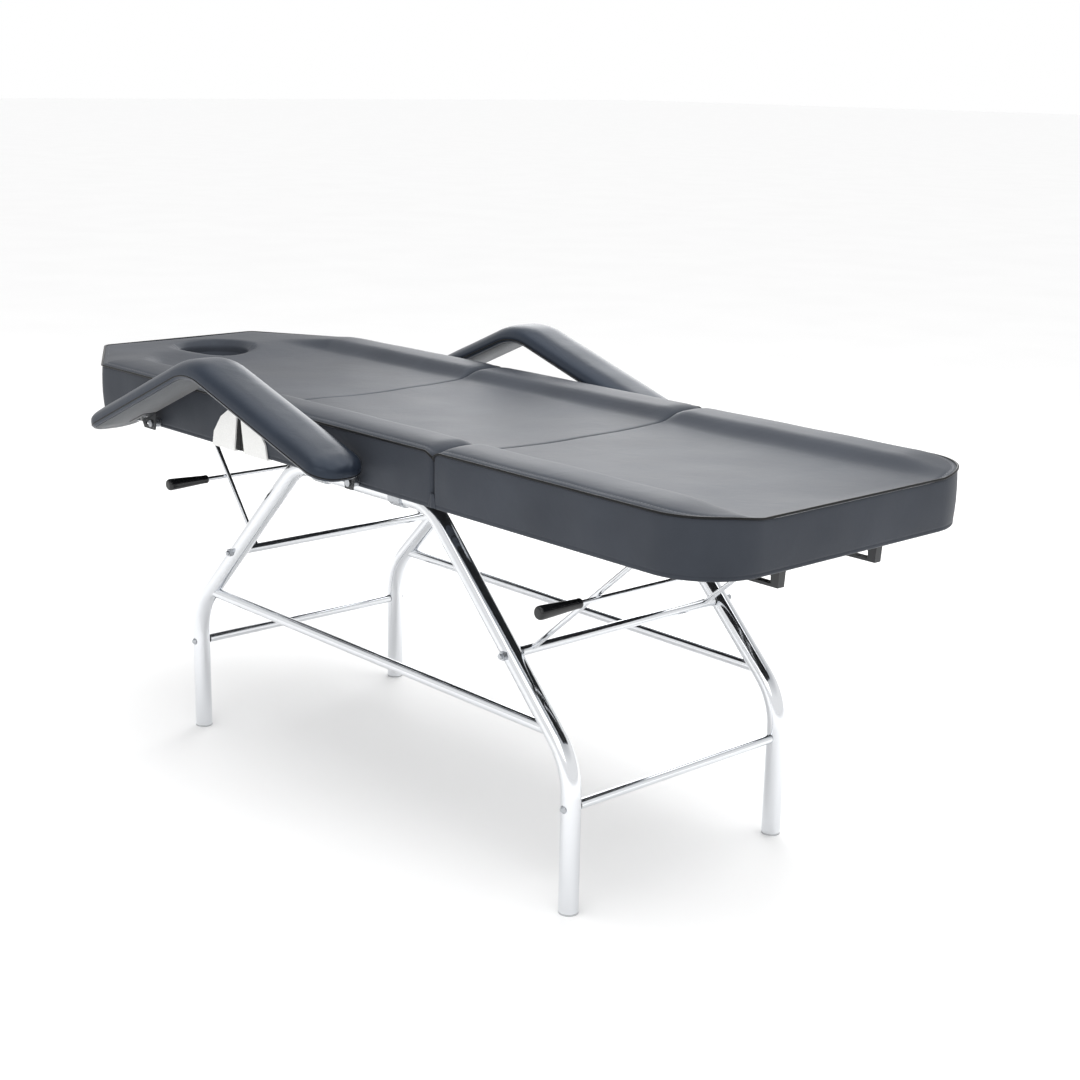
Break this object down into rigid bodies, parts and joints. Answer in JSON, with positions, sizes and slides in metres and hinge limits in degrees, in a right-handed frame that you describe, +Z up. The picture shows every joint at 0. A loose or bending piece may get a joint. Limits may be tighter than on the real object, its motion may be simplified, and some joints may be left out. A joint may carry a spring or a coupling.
{
  "type": "facial treatment bed",
  "caption": "Three-section padded treatment bed with face hole, rising backrest, dropping leg rest, following armrests and a bent chrome tube frame.",
  "frame": {"origin": "on the floor, under the middle of the bed's whole length and width", "axes": "+X towards the foot end, +Z up, +Y to the left of a person lying on the back with the head at -X"},
  "size_m": [1.828, 0.836, 0.7763],
  "materials": {
    "chrome_tube": "bright chrome plate",
    "zinc_steel": "bright zinc plate",
    "white_steel": "satin white powder coat",
    "black_steel": "satin black powder coat",
    "black_plastic": "glossy moulded",
    "grey_plastic": "moulded",
    "plywood": "plain plywood",
    "black_upholstery": "coated black cloth over foam",
    "arm_upholstery": "coated black cloth over foam"
  },
  "bodies": {
    "frame": {"armrest_pivot_studs": "zinc_steel", "backrest_hinge_rivets": "zinc_steel", "crossbar_bolts": "zinc_steel", "hinge_pins": "zinc_steel", "leg_caps": "grey_plastic", "lower_crossbar_foot": "chrome_tube", "lower_crossbar_head": "chrome_tube", "prop_pivot_bolts": "zinc_steel", "rail_clamp_screws": "zinc_steel", "rail_clamps": "zinc_steel", "seat_board": "plywood", "seat_cushion": "black_upholstery", "seat_hinge_leaves": "zinc_steel", "seat_hinge_plate_left": "white_steel", "seat_hinge_plate_right": "white_steel", "seat_leaf_screws": "zinc_steel", "seat_plate_screws": "zinc_steel", "side_brace_left": "chrome_tube", "side_brace_right": "chrome_tube", "side_frame_left": "chrome_tube", "side_frame_right": "chrome_tube"},
    "backrest": {"armrest_slide_studs": "zinc_steel", "backrest_board": "plywood", "backrest_cushion": "black_upholstery", "backrest_hinge_plate_left": "white_steel", "backrest_hinge_plate_right": "white_steel", "backrest_plate_screws": "zinc_steel", "backrest_rack_left": "black_steel", "backrest_rack_right": "black_steel", "backrest_rack_screws": "zinc_steel"},
    "leg_rest": {"leg_rest_board": "plywood", "leg_rest_cushion": "black_upholstery", "leg_rest_hinge_leaves": "zinc_steel", "leg_rest_leaf_screws": "zinc_steel", "leg_rest_rack_left": "black_steel", "leg_rest_rack_right": "black_steel", "leg_rest_rack_screws": "zinc_steel"},
    "head_prop": {"head_prop_arm_left": "chrome_tube", "head_prop_arm_right": "chrome_tube", "head_prop_bar": "chrome_tube", "head_prop_grip": "black_plastic", "head_prop_handle_rod": "chrome_tube", "head_prop_pivot_tube": "chrome_tube"},
    "foot_prop": {"foot_prop_arm_left": "chrome_tube", "foot_prop_arm_right": "chrome_tube", "foot_prop_bar": "chrome_tube", "foot_prop_grip": "black_plastic", "foot_prop_handle_rod": "chrome_tube", "foot_prop_pivot_tube": "chrome_tube"},
    "armrest_left": {"armrest_left_core": "plywood", "armrest_left_nose_bracket": "black_steel", "armrest_left_pad": "arm_upholstery", "armrest_left_screws": "zinc_steel", "armrest_left_tail_bracket": "black_steel"},
    "armrest_right": {"armrest_right_core": "plywood", "armrest_right_nose_bracket": "black_steel", "armrest_right_pad": "arm_upholstery", "armrest_right_screws": "zinc_steel", "armrest_right_tail_bracket": "black_steel"}
  },
  "joints": [
    {"name": "backrest_tilt", "type": "hinge", "parent": "frame", "child": "backrest", "pos_m": [-0.204, 0, 0.68], "axis": [0, 1, 0], "range_deg": [0, 45]},
    {"name": "leg_rest_tilt", "type": "hinge", "parent": "frame", "child": "leg_rest", "pos_m": [0.336, 0, 0.6], "axis": [0, 1, 0], "range_deg": [0, 35]},
    {"name": "head_prop_tilt", "type": "hinge", "parent": "frame", "child": "head_prop", "pos_m": [-0.328, 0, 0.385], "axis": [0, 1, 0], "range_deg": [0, 45.5]},
    {"name": "foot_prop_tilt", "type": "hinge", "parent": "frame", "child": "foot_prop", "pos_m": [0.45, 0, 0.385], "axis": [0, 1, 0], "range_deg": [0, 57.5]},
    {"name": "armrest_left_tilt", "type": "hinge", "parent": "frame", "child": "armrest_left", "pos_m": [0.141, 0, 0.613], "axis": [0, 1, 0], "range_deg": [0, 20.5]},
    {"name": "armrest_right_tilt", "type": "hinge", "parent": "frame", "child": "armrest_right", "pos_m": [0.141, 0, 0.613], "axis": [0, 1, 0], "range_deg": [0, 20.5]}
  ],
  "couplings": [
    {"joint": "head_prop_tilt", "follows": "backrest_tilt", "ratio": 1},
    {"joint": "foot_prop_tilt", "follows": "leg_rest_tilt", "ratio": 1.63},
    {"joint": "armrest_left_tilt", "follows": "backrest_tilt", "ratio": 0.448},
    {"joint": "armrest_right_tilt", "follows": "backrest_tilt", "ratio": 0.448}
  ]
}
